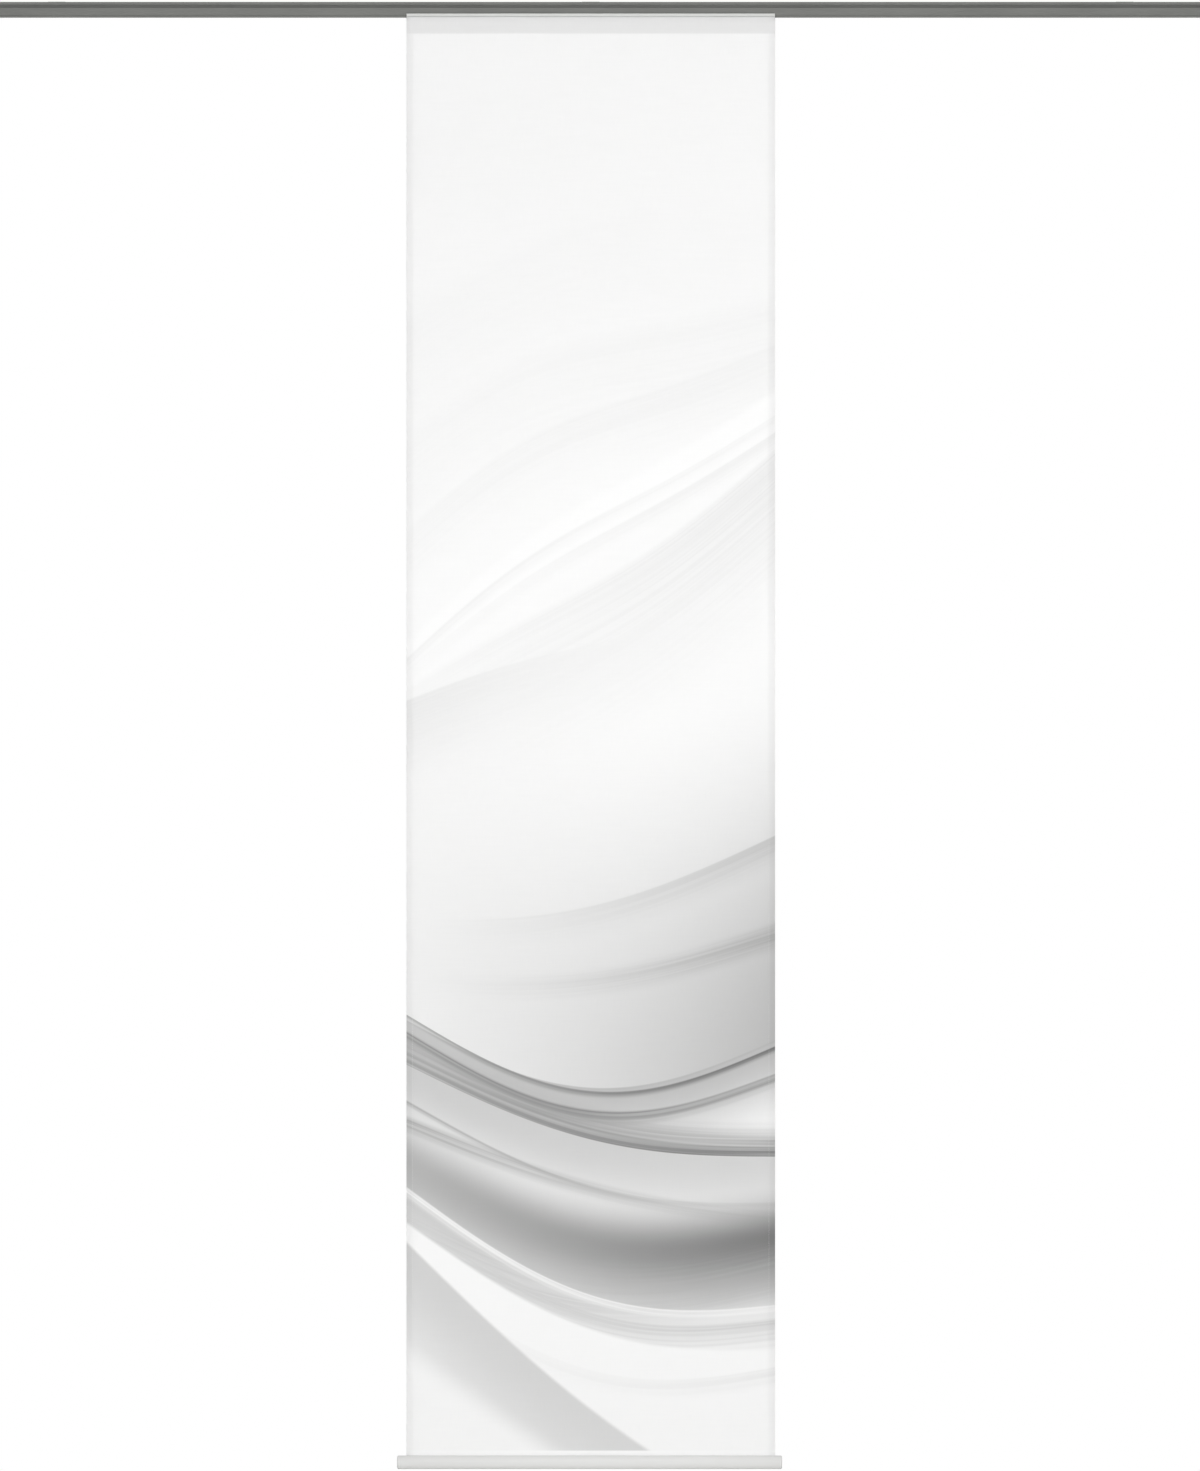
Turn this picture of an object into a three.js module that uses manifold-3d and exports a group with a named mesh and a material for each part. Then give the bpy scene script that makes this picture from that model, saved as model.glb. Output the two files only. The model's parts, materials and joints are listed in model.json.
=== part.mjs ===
// A sliding panel curtain on a two-track ceiling rail.
//
// Millimetres. X runs along the rail, -Y is the room side and +Z is up. The origin is on the
// ceiling, at the middle of the rail's length and depth. The panel hangs from the front track
// at mid rail, and slides along X.
import * as THREE from "three";
import { mergeVertices } from "three/addons/utils/BufferGeometryUtils.js";
import Module from "manifold-3d";

const wasm = await Module();
wasm.setup();

// Rail: a symmetric extrusion with a clip channel on top and two tracks below.
const railLength = 2000;
const railDepth = 44;
const railHeight = 25.2;
const railWall = 1.4;
const railDrop = 0.6; // the rail's top hangs this far under the ceiling
const beadHeight = 5.1; // rounded band along the top of each face
const beadSwell = 0.7;
const grooveHeight = 3.6; // shadow groove under the band
const grooveDepth = 6;
const lipReach = 5; // top lips over the clip channel
const slotWidth = 7;
const footThickness = 1.6;
const ridgeHeight = 0.8; // runner ridges along each slot
const ridgeWidth = 1.2;
const scoreInset = 2.4; // fine line near the bottom of each face
const scoreWidth = 1.2;
const scoreDepth = 0.5;
const railEdge = 0.8; // broken edge under the groove
const railBottomRadius = 1;

// Rail end caps.
const railCapThickness = 2.2;
const railCapMargin = 0.4; // the cap stands proud of the profile by this much
const railCapRadius = 1.8;
const railCapRound = 0.8;
const plugLength = 11;
const plugWall = 1.5;
const plugClearance = 0.35;

// Ceiling clips: formed spring steel.
const clipLength = 28;
const clipThickness = 1;
const clipInset = 130; // from the end of the rail to the middle of an outer clip
const clipSeat = 0.3;
const clipFlange = 3.6;
const clipLeadIn = 0.8;
const clipHoleSpacing = 15;
const clipHoleRadius = 2.3;

// End stops of the front track, each with a set screw.
const stopLength = 14;
const stopHeight = 8.5;
const stopSideGap = 0.8;
const stopNeckGap = 0.5;
const stopInset = 13; // from the end of the rail to the outer face of a stop
const stopScrewRadius = 2;
const stopScrewGap = 0.3;
const stopScrewSocket = 1.25;
const stopScrewSocketDepth = 2.5;
const stopChamfer = 1;
const stopScrewPoint = 0.7; // cone at the inner end, half of it at the outer end

// Gliders: moulded double-T sliders.
const gliderLength = 32;
const gliderHeadHeight = 9.5;
const gliderHeadChamfer = 1.2;
const gliderSideGap = 1.2;
const gliderRunGap = 0.3; // between the head and the runner ridges
const gliderNeckGap = 0.8; // each side of the neck in the rail's slot
const gliderFootThickness = 2.6;
const gliderFootGap = 0.3;
const gliderPocketWall = 2.2;
const gliderPocketDepth = 5.5;
const gliderPocketEnd = 4.4; // from the glider's end to its pocket
const gliderCornerRadius = 4; // of the head's plan
const gliderInset = 30; // from the panel's edge to the middle of an outer glider
const gliderSpread = 172; // from an outer glider to its inner neighbour

// Carrier: the panel carriage.
const panelWidth = 600;
const carrierDrop = 1.2; // between the rail's bottom and the carrier's channel
const carrierWall = 1.3;
const carrierChannelWidth = 14;
const carrierSlotGap = 0.5; // each side of the glider's neck
const plateGap = 1.3; // between the rail's face and the carrier's front plate
const plateThickness = 1.8;
const plateRise = 6.5; // the front plate covers this much of the rail's face
const plateBead = 5.6; // thicker band along the top of the front plate
const plateBeadSwell = 1.1;
const plateFoot = 0.9; // ledge along the bottom of the front plate
const carrierFillet = 1.2;
const carrierCapThickness = 2;
const carrierPlugLength = 7;

// Hook and loop tapes.
const tapeWidth = 25;
const tapeBase = 0.5;
const tapePile = 0.6;
const tapeSelvedge = 1.8;
const tapeGap = 0.1;
const tapeEndInset = 4; // from the panel's edge to the end of a tape

// Fabric: one sheet, with its hems folded to the back.
const clothThickness = 0.45;
const sideHem = 10.6;
const topHem = 26;
const clothTopGap = 0.4; // under the carrier's bead
const clothDrop = 2342.8; // from the cloth's top edge to the top of the bottom bar

// Bottom bar, its keder rod and its steel strip.
const barHeight = 22.2;
const barDepth = 14;
const barOverhangLeft = 15.5;
const barOverhangRight = 11.5;
const barSquareness = 2.1; // exponent of the section's rounded outline, 2 for an ellipse
const barWall = 1.5; // of the outer skin
const barRib = 1.3; // round the rod's and the strip's chambers
const barCapThickness = 4;
const barCapRound = 2.8;
const barPlugLength = 10;
const barSlotGap = 0.55; // each side of the doubled cloth
const kederRadius = 2;
const kederGap = 0.3;
const kederChamberGap = 0.45;
const kederDepth = 5.4; // from the bar's top to the rod's middle
const kederInset = 2;
const stripHeight = 9.2;
const stripThickness = 3.4;
const stripGap = 0.35;
const stripEndGap = 0.5; // between the strip and a cap's plug
const stripFloor = 2.2; // under the strip's chamber

// How finely round forms are faceted, and how far a cut runs past what it cuts.
const curveSteps = 8;
const cornerSteps = 4;
const beadSteps = 6;
const pinSides = 24;
const socketSides = 6;
const sleeveSteps = 12;
const barOutlineSteps = 44;
const cutMargin = 5;

// Levels and places that follow from the sizes above.
const railTop = -railDrop;
const railBottom = railTop - railHeight;
const webTop = -(beadHeight + grooveHeight); // from the rail's top
const webBottom = webTop - railWall;
const halfDepth = railDepth / 2;
const trackWidth = halfDepth - 1.5 * railWall;
const trackCentre = (railWall + trackWidth) / 2;
const ridgeTop = railBottom + footThickness + ridgeHeight;
const trackCeiling = railTop + webBottom;
const frontTrack = -trackCentre;

const carrierTop = railBottom - carrierDrop;
const channelInside = gliderFootThickness + 2 * gliderFootGap;
const carrierBottom = carrierTop - channelInside - 2 * carrierWall;
const plateBack = -halfDepth - plateGap;
const plateFront = plateBack - plateThickness;
const plateTop = railBottom + plateRise;
const tapeTop = plateTop - plateBead - tapeGap;
const plateBottom = tapeTop - tapeWidth - tapeGap - plateFoot;
const carrierHalf = panelWidth / 2 - carrierCapThickness;

const hookBack = plateFront - tapeGap;
const hookFront = hookBack - tapeBase - tapePile;
const loopFront = hookFront - tapeGap - tapePile - tapeBase;
const clothBack = loopFront - tapeGap;
const clothMiddle = clothBack - clothThickness;
const clothFront = clothMiddle - clothThickness;
const clothTop = plateTop - plateBead - clothTopGap;

const barTop = clothTop - clothDrop;
const barMiddle = barTop - barHeight / 2;
const kederLevel = barTop - kederDepth;
const loopRadius = kederRadius + kederGap + clothThickness;
const chamberRadius = loopRadius + kederChamberGap;
const barLeft = -panelWidth / 2 - barOverhangLeft;
const barRight = panelWidth / 2 + barOverhangRight;

const gliderPlaces = [
  -panelWidth / 2 + gliderInset,
  -panelWidth / 2 + gliderInset + gliderSpread,
  panelWidth / 2 - gliderInset - gliderSpread,
  panelWidth / 2 - gliderInset,
];

// Materials.
const finish = (color, roughness, metalness = 0) =>
  new THREE.MeshStandardMaterial({ color, roughness, metalness });
const greyAluminium = finish(0x7d7e7a, 0.45, 0.7);
const greyPlastic = finish(0x6e6f6c, 0.6);
const springSteel = finish(0xb9bab8, 0.35, 0.9);
const zincSteel = finish(0xa9abac, 0.4, 0.9);
const whitePlastic = finish(0xdedfdd, 0.5);
const clearWhitePlastic = finish(0xf0f0ec, 0.45);
const tapeWhite = finish(0xeeeeec, 0.95);
const cloth = finish(0xf6f6f4, 0.9);

// Turns a closed three.js geometry into a solid that can be cut and joined.
function solid(geometry) {
  const bare = geometry.index ? geometry.toNonIndexed() : geometry.clone();
  bare.deleteAttribute("normal");
  bare.deleteAttribute("uv");
  const merged = mergeVertices(bare, 1e-4);
  return new wasm.Manifold(
    new wasm.Mesh({
      numProp: 3,
      vertProperties: merged.attributes.position.array,
      triVerts: new Uint32Array(merged.index.array),
    }),
  );
}

// A named mesh from a solid.
function piece(name, shape, material) {
  const made = shape.getMesh();
  const geometry = new THREE.BufferGeometry();
  geometry.setAttribute("position", new THREE.BufferAttribute(made.vertProperties, 3));
  geometry.setIndex(new THREE.BufferAttribute(made.triVerts, 1));
  const mesh = new THREE.Mesh(geometry.toNonIndexed(), material);
  mesh.geometry.computeVertexNormals();
  mesh.name = name;
  return mesh;
}

// Turns a section drawn in (x, y) and extruded along z to lie in (y, z) and run along x.
const sectionToX = new THREE.Matrix4().makeBasis(
  new THREE.Vector3(0, 1, 0),
  new THREE.Vector3(0, 0, 1),
  new THREE.Vector3(1, 0, 0),
);

// A section drawn in (y, z), extruded along X from one place to another.
function alongX(section, from, to, curveSegments = curveSteps) {
  const geometry = new THREE.ExtrudeGeometry(section, {
    depth: to - from,
    bevelEnabled: false,
    curveSegments,
  });
  return solid(geometry.applyMatrix4(sectionToX).translate(from, 0, 0));
}

// A plan drawn in (x, y), extruded up Z from one level to another.
function alongZ(plan, from, to, curveSegments = curveSteps) {
  const geometry = new THREE.ExtrudeGeometry(plan, {
    depth: to - from,
    bevelEnabled: false,
    curveSegments,
  });
  return solid(geometry.translate(0, 0, from));
}

// An axis-aligned block between two corners.
function block([x0, y0, z0], [x1, y1, z1]) {
  const box = new THREE.BoxGeometry(x1 - x0, y1 - y0, z1 - z0);
  return solid(box.translate((x0 + x1) / 2, (y0 + y1) / 2, (z0 + z1) / 2));
}

// A closed polygon from a list of [u, v] corners.
const polygon = (corners) => new THREE.Shape(corners.map(([u, v]) => new THREE.Vector2(u, v)));

// A polygon that is mirrored in u = 0: the corners run from the axis, out and round, to the axis.
const mirrored = (corners) =>
  polygon([...corners, ...corners.map(([u, v]) => [-u, v]).reverse()]);

// A rectangle with rounded corners, between two corners.
function roundedRectangle(u0, v0, u1, v1, radius) {
  const shape = new THREE.Shape();
  shape.moveTo(u0 + radius, v0);
  shape.lineTo(u1 - radius, v0);
  shape.absarc(u1 - radius, v0 + radius, radius, -Math.PI / 2, 0);
  shape.lineTo(u1, v1 - radius);
  shape.absarc(u1 - radius, v1 - radius, radius, 0, Math.PI / 2);
  shape.lineTo(u0 + radius, v1);
  shape.absarc(u0 + radius, v1 - radius, radius, Math.PI / 2, Math.PI);
  shape.lineTo(u0, v0 + radius);
  shape.absarc(u0 + radius, v0 + radius, radius, Math.PI, 1.5 * Math.PI);
  return shape;
}

// Points on a circular arc, ends included.
function arc(centreU, centreV, radius, startDegrees, endDegrees, steps) {
  return Array.from({ length: steps + 1 }, (_, i) => {
    const angle = THREE.MathUtils.degToRad(
      startDegrees + ((endDegrees - startDegrees) * i) / steps,
    );
    return [centreU + radius * Math.cos(angle), centreV + radius * Math.sin(angle)];
  });
}

// Half of the rail's section, from the middle of the clip channel, out over the face and back
// along the track to the middle wall's foot. Levels count from the rail's top.
function railHalf() {
  const innerFace = halfDepth - railWall;
  const slotInner = trackCentre - slotWidth / 2;
  const slotOuter = trackCentre + slotWidth / 2;
  const footTop = -railHeight + footThickness;
  const ridge = footTop + ridgeHeight;
  const channelStep = -beadHeight + railWall;
  const scoreTop = -railHeight + scoreInset + scoreWidth;
  const cornerMiddle = halfDepth - railBottomRadius;
  const bead = Array.from({ length: beadSteps + 1 }, (_, i) => {
    const share = i / beadSteps;
    return [halfDepth - beadSwell * (2 * share - 1) ** 2, -beadHeight * share];
  });
  return [
    [0, webTop],
    [halfDepth - grooveDepth - railWall, webTop],
    [halfDepth - grooveDepth - railWall, channelStep],
    [innerFace, channelStep],
    [innerFace, -railWall],
    [innerFace - lipReach, -railWall],
    [innerFace - lipReach, 0],
    ...bead,
    [halfDepth - grooveDepth, -beadHeight],
    [halfDepth - grooveDepth, webTop],
    [halfDepth - railEdge, webTop],
    [halfDepth, webTop - railEdge],
    [halfDepth, scoreTop],
    [halfDepth - scoreDepth, scoreTop - scoreWidth / 2],
    [halfDepth, scoreTop - scoreWidth],
    ...arc(cornerMiddle, -railHeight + railBottomRadius, railBottomRadius, 0, -90, cornerSteps),
    [slotOuter, -railHeight],
    [slotOuter, ridge],
    [slotOuter + ridgeWidth, ridge],
    [slotOuter + ridgeWidth, footTop],
    [innerFace, footTop],
    [innerFace, webBottom],
    [railWall / 2, webBottom],
    [railWall / 2, footTop],
    [slotInner - ridgeWidth, footTop],
    [slotInner - ridgeWidth, ridge],
    [slotInner, ridge],
    [slotInner, -railHeight],
    [0, -railHeight],
  ];
}

function railProfile() {
  const section = alongX(mirrored(railHalf()), -railLength / 2, railLength / 2);
  return piece("rail_profile", section.translate([0, 0, railTop]), greyAluminium);
}

// An end cap: a rounded plate over the profile's end, with a hollow plug in each track.
function railEndCap(side) {
  const face = new THREE.ExtrudeGeometry(
    roundedRectangle(
      -halfDepth - railCapMargin,
      railBottom - railCapMargin,
      halfDepth + railCapMargin,
      railTop,
      railCapRadius,
    ),
    {
      depth: railCapThickness,
      bevelThickness: railCapRound,
      bevelSize: railCapRound,
      bevelOffset: -railCapRound,
      bevelSegments: cornerSteps,
      curveSegments: cornerSteps,
    },
  );
  const end = railLength / 2;
  const outside = end + plugClearance;
  const far = outside + railCapThickness;
  const start = far - railCapRound - railCapThickness;
  let cap = solid(face.applyMatrix4(sectionToX).translate(start, 0, 0)).intersect(
    block([outside, -railDepth, railBottom * 2], [far + railCapThickness, railDepth, 0]),
  );
  for (const track of [-trackCentre, trackCentre]) {
    const halfWidth = trackWidth / 2 - plugClearance;
    const low = ridgeTop + plugClearance;
    const high = trackCeiling - plugClearance;
    const outer = block(
      [end - plugLength, track - halfWidth, low],
      [far - railCapRound, track + halfWidth, high],
    );
    const hollow = block(
      [end - 2 * plugLength, track - halfWidth + plugWall, low + plugWall],
      [end, track + halfWidth - plugWall, high - plugWall],
    );
    cap = cap.add(outer).subtract(hollow);
  }
  const name = side < 0 ? "rail_end_cap_left" : "rail_end_cap_right";
  return piece(name, side < 0 ? cap.mirror([1, 0, 0]) : cap, greyPlastic);
}

// A ceiling clip: a hat-shaped strip whose flanges hold the rail's lips from below.
function ceilingClip(name, x) {
  const topHalf = halfDepth - railWall - lipReach - clipSeat;
  const flangeTop = -(railDrop + railWall + clipSeat);
  const tip = topHalf + clipFlange;
  const strip = alongX(
    mirrored([
      [0, 0],
      [topHalf, 0],
      [topHalf, flangeTop],
      [tip, flangeTop],
      [tip + clipLeadIn, flangeTop - clipLeadIn],
      [tip + clipLeadIn, flangeTop - clipThickness],
      [topHalf - clipThickness, flangeTop - clipThickness],
      [topHalf - clipThickness, -clipThickness],
      [0, -clipThickness],
    ]),
    x - clipLength / 2,
    x + clipLength / 2,
  );
  const holeLength = 4 * clipThickness;
  const hole = new THREE.CylinderGeometry(clipHoleRadius, clipHoleRadius, holeLength, pinSides);
  hole.rotateX(Math.PI / 2);
  const left = solid(hole.clone().translate(x - clipHoleSpacing / 2, 0, 0));
  const right = solid(hole.clone().translate(x + clipHoleSpacing / 2, 0, 0));
  return piece(name, strip.subtract(left).subtract(right), springSteel);
}

// The middle of an end stop on the given side.
const stopPlace = (side) => side * (railLength / 2 - stopInset - stopLength / 2);

// A stop: a block that sits on the runner ridges, with a neck that fills the slot.
function endStop(name, side) {
  const x = stopPlace(side);
  const halfWidth = trackWidth / 2 - stopSideGap;
  const halfNeck = slotWidth / 2 - stopNeckGap;
  const low = ridgeTop + gliderRunGap;
  const section = polygon([
    [frontTrack - halfNeck, railBottom],
    [frontTrack + halfNeck, railBottom],
    [frontTrack + halfNeck, low],
    [frontTrack + halfWidth, low],
    [frontTrack + halfWidth, low + stopHeight - stopChamfer],
    [frontTrack + halfWidth - stopChamfer, low + stopHeight],
    [frontTrack - halfWidth + stopChamfer, low + stopHeight],
    [frontTrack - halfWidth, low + stopHeight - stopChamfer],
    [frontTrack - halfWidth, low],
    [frontTrack - halfNeck, low],
  ]);
  const body = alongX(section, x - stopLength / 2, x + stopLength / 2);
  const bore = new THREE.CylinderGeometry(
    stopScrewRadius + stopScrewGap,
    stopScrewRadius + stopScrewGap,
    4 * railHeight,
    pinSides,
  );
  bore.rotateX(Math.PI / 2).translate(x, frontTrack, 0);
  return piece(name, body.subtract(solid(bore)), greyPlastic);
}

// The set screw of a stop, pressed against the track's ceiling, its hexagon socket at the bottom.
function stopScrew(name, side) {
  const top = trackCeiling - stopScrewGap;
  const bottom = railBottom + stopScrewGap;
  const profile = [
    [0, bottom],
    [stopScrewRadius - stopScrewPoint / 2, bottom],
    [stopScrewRadius, bottom + stopScrewPoint / 2],
    [stopScrewRadius, top - stopScrewPoint],
    [stopScrewRadius - stopScrewPoint, top],
    [0, top],
  ].map(([r, z]) => new THREE.Vector2(r, z));
  const shank = new THREE.LatheGeometry(profile, pinSides);
  shank.rotateX(Math.PI / 2).translate(stopPlace(side), frontTrack, 0);
  const socket = new THREE.CylinderGeometry(
    stopScrewSocket,
    stopScrewSocket,
    2 * stopScrewSocketDepth,
    socketSides,
  );
  socket.rotateX(Math.PI / 2).translate(stopPlace(side), frontTrack, bottom);
  return piece(name, solid(shank).subtract(solid(socket)), zincSteel);
}

// A glider: head on the runner ridges, neck through both slots, foot in the carrier's channel.
function glider(name, x) {
  const headHalf = trackWidth / 2 - gliderSideGap;
  const neckHalf = slotWidth / 2 - gliderNeckGap;
  const footHalf = carrierChannelWidth / 2 - carrierWall - gliderFootGap;
  const headLow = ridgeTop + gliderRunGap;
  const headHigh = headLow + gliderHeadHeight;
  const footHigh = carrierTop - carrierWall - gliderFootGap;
  const footLow = footHigh - gliderFootThickness;
  const section = [
    [0, footLow],
    [footHalf, footLow],
    [footHalf, footHigh],
    [neckHalf, footHigh],
    [neckHalf, headLow],
    [headHalf, headLow],
    [headHalf, headHigh - gliderHeadChamfer],
    [headHalf - gliderHeadChamfer, headHigh],
    [0, headHigh],
  ];
  const halfLength = gliderLength / 2;
  const body = alongX(mirrored(section), -halfLength, halfLength);
  const plan = roundedRectangle(
    -halfLength,
    -headHalf,
    halfLength,
    headHalf,
    gliderCornerRadius,
  );
  const pocketY = headHalf - gliderPocketWall;
  const pocket = roundedRectangle(
    gliderPocketWall / 2,
    -pocketY,
    halfLength - gliderPocketEnd,
    pocketY,
    gliderPocketWall,
  );
  const right = alongZ(pocket, headHigh - gliderPocketDepth, headHigh + cutMargin, cornerSteps);
  const rounded = body
    .intersect(alongZ(plan, footLow, headHigh, cornerSteps))
    .subtract(right)
    .subtract(right.mirror([1, 0, 0]));
  return piece(name, rounded.translate([x, frontTrack, 0]), clearWhitePlastic);
}

// The carrier's section: a channel for the glider feet, an arm, and a front plate whose thicker
// top band and bottom ledge frame the hook tape. The caps use it with the channel filled in.
function carrierSection(filled) {
  const channelBack = frontTrack + carrierChannelWidth / 2;
  const channelFront = frontTrack - carrierChannelWidth / 2;
  const slotHalf = slotWidth / 2 - gliderNeckGap + carrierSlotGap;
  const armTop = carrierBottom + carrierWall;
  const edge = plateThickness / 2;
  const inside = [
    [frontTrack + slotHalf, carrierTop],
    [frontTrack + slotHalf, carrierTop - carrierWall],
    [channelBack - carrierWall, carrierTop - carrierWall],
    [channelBack - carrierWall, armTop],
    [channelFront + carrierWall, armTop],
    [channelFront + carrierWall, carrierTop - carrierWall],
    [frontTrack - slotHalf, carrierTop - carrierWall],
    [frontTrack - slotHalf, carrierTop],
  ];
  return polygon([
    [channelBack, carrierBottom],
    [channelBack, carrierTop],
    ...(filled ? [] : inside),
    [channelFront, carrierTop],
    ...arc(channelFront - carrierFillet, armTop + carrierFillet, carrierFillet, 0, -90, cornerSteps),
    ...arc(plateBack + carrierFillet, armTop + carrierFillet, carrierFillet, -90, -180, cornerSteps),
    [plateBack, plateTop - edge],
    ...arc(plateBack - edge, plateTop - edge, edge, 0, 90, cornerSteps),
    [plateFront - plateBeadSwell / 2, plateTop],
    [plateFront - plateBeadSwell, plateTop - plateBeadSwell / 2],
    [plateFront - plateBeadSwell, plateTop - plateBead],
    [plateFront, plateTop - plateBead],
    [plateFront, plateBottom + plateFoot],
    [plateFront - plateBeadSwell, plateBottom + plateFoot],
    [plateFront - plateBeadSwell, plateBottom],
    [plateBack, plateBottom],
    [plateBack, carrierBottom - carrierFillet],
    [plateBack + carrierFillet, carrierBottom],
  ]);
}

function carrierProfile() {
  return piece(
    "carrier_profile",
    alongX(carrierSection(false), -carrierHalf, carrierHalf),
    whitePlastic,
  );
}

// A carrier cap: the section's silhouette, and a plug that shuts the channel.
function carrierCap(side) {
  const plate = alongX(carrierSection(true), carrierHalf, panelWidth / 2);
  const inset = carrierWall + gliderFootGap;
  const halfPlug = carrierChannelWidth / 2 - inset;
  const plug = block(
    [carrierHalf - carrierPlugLength, frontTrack - halfPlug, carrierBottom + inset],
    [panelWidth / 2, frontTrack + halfPlug, carrierTop - inset],
  );
  const cap = plate.add(plug);
  const name = side < 0 ? "carrier_cap_left" : "carrier_cap_right";
  return piece(name, side < 0 ? cap.mirror([1, 0, 0]) : cap, whitePlastic);
}

// A tape: a woven base with thin selvedges and a thicker field of hooks or loops.
function tape(name, back, front) {
  const half = tapeWidth / 2;
  const middle = tapeTop - half;
  const step = back > front ? back - tapeBase : back + tapeBase;
  const section = polygon([
    [back, middle - half],
    [back, middle + half],
    [step, middle + half],
    [step, middle + half - tapeSelvedge],
    [front, middle + half - tapeSelvedge],
    [front, middle - half + tapeSelvedge],
    [step, middle - half + tapeSelvedge],
    [step, middle - half],
  ]);
  const reach = panelWidth / 2 - tapeEndInset;
  return piece(name, alongX(section, -reach, reach), tapeWhite);
}

// The tapes face each other: the hook tape's base is on the carrier, the loop tape's on the cloth.
const hookTape = () => tape("hook_tape", hookBack, hookFront);
const loopTape = () => tape("loop_tape", loopFront, loopFront + tapeBase + tapePile);

// The cloth: a single layer in front, with the side and top hems doubled behind it. Inside the bar
// it is doubled again and ends in a sleeve round the keder rod.
function fabricPanel() {
  const half = panelWidth / 2;
  const sheet = block([-half, clothFront, barTop], [half, clothMiddle, clothTop]);
  const insideSheet = clothMiddle - clothThickness / 2;
  const hem = (x0, x1, z0, z1) => block([x0, insideSheet, z0], [x1, clothBack, z1]);
  const sleeve = new THREE.Shape();
  sleeve.absarc(clothMiddle, kederLevel, loopRadius, 0, 2 * Math.PI);
  const inside = new THREE.Path();
  inside.absarc(clothMiddle, kederLevel, loopRadius - clothThickness, 0, 2 * Math.PI);
  sleeve.holes.push(inside);
  const neckFoot = kederLevel + loopRadius - clothThickness / 2;
  const neck = block([-half, clothFront, neckFoot], [half, clothBack, barTop]);
  const made = sheet
    .add(hem(-half, -half + sideHem, barTop, clothTop))
    .add(hem(half - sideHem, half, barTop, clothTop))
    .add(hem(-half, half, clothTop - topHem, clothTop))
    .add(neck)
    .add(alongX(sleeve, -half, half, sleeveSteps));
  return piece("fabric_panel", made, cloth);
}

function kederRod() {
  const reach = panelWidth / 2 - kederInset;
  const rod = new THREE.CylinderGeometry(kederRadius, kederRadius, 2 * reach, pinSides);
  rod.rotateZ(Math.PI / 2).translate(0, clothMiddle, kederLevel);
  return piece("keder_rod", solid(rod), clearWhitePlastic);
}

// The bar's rounded outline: a superellipse, drawn smaller by an inset for the skin's inside.
function barOutline(inset = 0) {
  const rounded = (share) => Math.sign(share) * Math.abs(share) ** (2 / barSquareness);
  return polygon(
    Array.from({ length: barOutlineSteps }, (_, i) => {
      const angle = (2 * Math.PI * i) / barOutlineSteps;
      return [
        clothMiddle + (barDepth / 2 - inset) * rounded(Math.cos(angle)),
        barMiddle + (barHeight / 2 - inset) * rounded(Math.sin(angle)),
      ];
    }),
  );
}

// The strip's chamber, as two corners in (y, z).
function stripChamber() {
  const low = barTop - barHeight + stripFloor;
  return {
    y0: clothMiddle - stripThickness / 2 - stripGap,
    y1: clothMiddle + stripThickness / 2 + stripGap,
    z0: low,
    z1: low + stripHeight + 2 * stripGap,
  };
}

// The bar: a skin, a slotted tube for the rod and a box tube for the strip, joined by their ribs.
function bottomBar() {
  const past = [barLeft - cutMargin, barRight + cutMargin];
  const hollow = stripChamber();
  const rodTube = (radius) => {
    const circle = new THREE.Shape();
    circle.absarc(clothMiddle, kederLevel, radius, 0, 2 * Math.PI);
    return alongX(circle, ...past, sleeveSteps);
  };
  const stripTube = (wall) =>
    block(
      [past[0], hollow.y0 - wall, hollow.z0 - wall],
      [past[1], hollow.y1 + wall, hollow.z1 + wall],
    );
  const slot = (halfWidth) =>
    block(
      [past[0], clothMiddle - halfWidth, kederLevel],
      [past[1], clothMiddle + halfWidth, barTop + cutMargin],
    );
  const slotHalf = clothThickness + barSlotGap;
  const ribs = rodTube(chamberRadius + barRib).add(stripTube(barRib)).add(slot(slotHalf + barRib));
  const made = alongX(barOutline(), barLeft + barCapThickness, barRight - barCapThickness)
    .subtract(alongX(barOutline(barWall), ...past).subtract(ribs))
    .subtract(rodTube(chamberRadius))
    .subtract(slot(slotHalf))
    .subtract(stripTube(0));
  return piece("bottom_bar", made, whitePlastic);
}

function weightStrip() {
  const hollow = stripChamber();
  const inset = barCapThickness + barPlugLength + stripEndGap;
  const strip = block(
    [barLeft + inset, hollow.y0 + stripGap, hollow.z0 + stripGap],
    [barRight - inset, hollow.y1 - stripGap, hollow.z1 - stripGap],
  );
  return piece("weight_strip", strip, zincSteel);
}

// A bar cap: a domed plate on the bar's outline, with a plug in the strip's chamber.
function barCap(side) {
  const edge = side < 0 ? barLeft : barRight;
  const seat = edge - side * barCapThickness;
  const plate = new THREE.ExtrudeGeometry(barOutline(), {
    depth: barCapThickness,
    bevelThickness: barCapRound,
    bevelSize: barCapRound,
    bevelOffset: -barCapRound,
    bevelSegments: cornerSteps,
  });
  const start = side < 0 ? edge + barCapRound : edge - barCapRound - barCapThickness;
  const domed = solid(plate.applyMatrix4(sectionToX).translate(start, 0, 0));
  const low = Math.min(edge, seat);
  const high = Math.max(edge, seat);
  const kept = block(
    [low, clothMiddle - barDepth, barMiddle - barHeight],
    [high, clothMiddle + barDepth, barMiddle + barHeight],
  );
  const hollow = stripChamber();
  const inner = seat - side * barPlugLength;
  const plug = block(
    [Math.min(inner, seat + side), hollow.y0 + stripGap, hollow.z0 + stripGap],
    [Math.max(inner, seat + side), hollow.y1 - stripGap, hollow.z1 - stripGap],
  );
  const name = side < 0 ? "bottom_bar_cap_left" : "bottom_bar_cap_right";
  return piece(name, domed.intersect(kept).add(plug), whitePlastic);
}

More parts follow.
